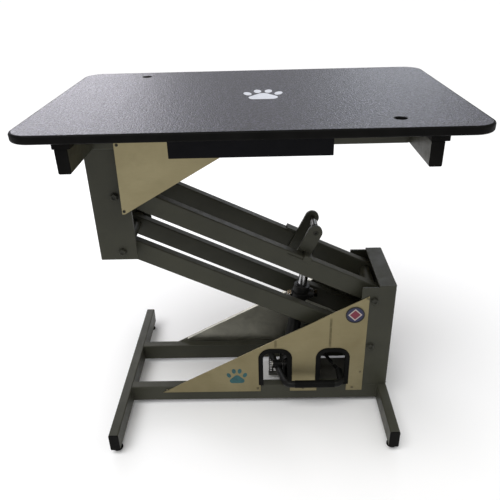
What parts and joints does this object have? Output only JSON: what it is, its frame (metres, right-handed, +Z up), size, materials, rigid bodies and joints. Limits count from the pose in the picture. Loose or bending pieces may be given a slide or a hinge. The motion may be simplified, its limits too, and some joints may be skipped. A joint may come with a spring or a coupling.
{
  "type": "grooming table",
  "caption": "Hydraulic pet grooming table: pebbled top on a parallelogram arm lift with a foot pedal, triangular steel side panels, tool drawer and levelling feet.",
  "frame": {"origin": "floor level under the middle of the tabletop", "axes": "+X along the tabletop to the column side, +Y across it to the rear, +Z up"},
  "size_m": [0.922, 0.612, 0.8556],
  "materials": {
    "frame_paint": "satin olive-grey powder coat",
    "painted_fasteners": "satin painted over with the frame",
    "panel_steel": "brushed stainless sheet, warm",
    "black_plastic": "matte",
    "black_rubber": "matte",
    "black_paint": "satin black",
    "zinc": "zinc plated",
    "chrome": "polished",
    "wood_core": "particle board",
    "pebbled_laminate": "pebbled, satin",
    "white_decal": "satin vinyl",
    "teal_decal": "satin vinyl",
    "badge": "gloss domed sticker"
  },
  "bodies": {
    "base": {"left_foot": "frame_paint", "right_foot": "frame_paint", "foot_end_caps": "black_plastic", "front_base_rail": "frame_paint", "rear_base_rail": "frame_paint", "base_pan": "frame_paint", "column_channel": "frame_paint", "column_top_cap": "frame_paint", "column_pivot_fasteners": "painted_fasteners", "front_lower_panel": "panel_steel", "rear_lower_panel": "panel_steel", "arch_trims": "black_rubber", "lower_panel_screws": "painted_fasteners", "panel_paw_decal": "teal_decal", "round_badge": "badge", "ram_clevis_ears": "black_paint", "pump_body": "black_paint", "pedal_brackets": "black_paint", "pedal_shaft": "zinc", "pedal_spring": "zinc"},
    "pump_plunger": {"pump_plunger": "chrome"},
    "pedal": {"pedal_bail": "black_paint", "pedal_sleeve": "black_rubber"},
    "lower_arms": {"lower_front_arm": "frame_paint", "lower_rear_arm": "frame_paint", "lower_arm_sleeves": "frame_paint"},
    "upper_arms": {"upper_front_arm": "frame_paint", "upper_rear_arm": "frame_paint", "upper_arm_sleeves": "frame_paint", "ram_lug_bracket": "frame_paint", "ram_top_pin": "painted_fasteners"},
    "ram_rod": {"ram_rod": "chrome", "ram_piston": "zinc"},
    "ram_barrel": {"ram_barrel": "black_paint", "ram_gland": "black_paint", "ram_manifold": "black_paint", "ram_fittings": "chrome", "ram_foot": "black_paint"},
    "table": {"upright_channel": "frame_paint", "left_top_crossbar": "frame_paint", "right_top_crossbar": "frame_paint", "front_top_rail": "frame_paint", "rear_top_rail": "frame_paint", "top_end_caps": "black_plastic", "mounting_strips": "black_plastic", "tabletop_core": "wood_core", "tabletop_surface": "pebbled_laminate", "tabletop_edge_band": "black_plastic", "top_paw_decal": "white_decal", "front_upper_panel": "panel_steel", "rear_upper_panel": "panel_steel", "upper_panel_screws": "painted_fasteners", "upper_panel_spacers": "frame_paint", "upright_pivot_fasteners": "painted_fasteners", "drawer_runners": "black_paint"},
    "drawer": {"drawer_tray": "black_paint"},
    "levelling_foot_front_left": {"levelling_foot_front_left": "black_rubber"},
    "levelling_foot_rear_left": {"levelling_foot_rear_left": "black_rubber"},
    "levelling_foot_front_right": {"levelling_foot_front_right": "black_rubber"},
    "levelling_foot_rear_right": {"levelling_foot_rear_right": "black_rubber"}
  },
  "joints": [
    {"name": "table_lift", "type": "hinge", "parent": "base", "child": "upper_arms", "pos_m": [0.306, 0.004, 0.346], "axis": [0, 1, 0], "range_deg": [-31.7, 19.3]},
    {"name": "table_level", "type": "hinge", "parent": "upper_arms", "child": "table", "pos_m": [-0.32475, 0.004, 0.64956], "axis": [0, 1, 0], "range_deg": [-19.4, 31.8]},
    {"name": "lower_arm_swing", "type": "hinge", "parent": "base", "child": "lower_arms", "pos_m": [0.306, 0.004, 0.2], "axis": [0, 1, 0], "range_deg": [-31.8, 19.4]},
    {"name": "ram_swing", "type": "hinge", "parent": "upper_arms", "child": "ram_rod", "pos_m": [0.155, 0.004, 0.516], "axis": [0, 1, 0], "range_deg": [-13.4, 21.9]},
    {"name": "ram_stroke", "type": "slide", "parent": "ram_rod", "child": "ram_barrel", "axis": [-0.1536, 0, -0.9881], "range_m": [-0.1015, 0.0619]},
    {"name": "pedal_rock", "type": "hinge", "parent": "base", "child": "pedal", "pos_m": [0.153, -0.05, 0.1], "axis": [1, 0, 0], "range_deg": [-12, 14], "stiffness_Nm_per_rad": 20, "springref_deg": -1.72, "deforming": ["pedal_spring"]},
    {"name": "pump_stroke", "type": "slide", "parent": "base", "child": "pump_plunger", "axis": [0, 0, -1], "range_m": [-0.0034, 0.0041]},
    {"name": "drawer_slide", "type": "slide", "parent": "table", "child": "drawer", "axis": [0, -1, 0], "range_m": [0, 0.11]},
    {"name": "levelling_front_left_screw", "type": "slide", "parent": "base", "child": "levelling_foot_front_left", "axis": [0, 0, 1], "range_m": [-0.012, 0.003]},
    {"name": "levelling_rear_left_screw", "type": "slide", "parent": "base", "child": "levelling_foot_rear_left", "axis": [0, 0, 1], "range_m": [-0.012, 0.003]},
    {"name": "levelling_front_right_screw", "type": "slide", "parent": "base", "child": "levelling_foot_front_right", "axis": [0, 0, 1], "range_m": [-0.012, 0.003]},
    {"name": "levelling_rear_right_screw", "type": "slide", "parent": "base", "child": "levelling_foot_rear_right", "axis": [0, 0, 1], "range_m": [-0.012, 0.003]}
  ],
  "couplings": [
    {"joint": "table_level", "follows": "table_lift", "ratio": -1},
    {"joint": "lower_arm_swing", "follows": "table_lift", "ratio": 1},
    {"joint": "ram_swing", "follows": "table_lift", "ratio": -0.6846},
    {"joint": "ram_stroke", "follows": "table_lift", "m_per_rad": 0.18309},
    {"joint": "pump_stroke", "follows": "pedal_rock", "m_per_rad": 0.016}
  ]
}
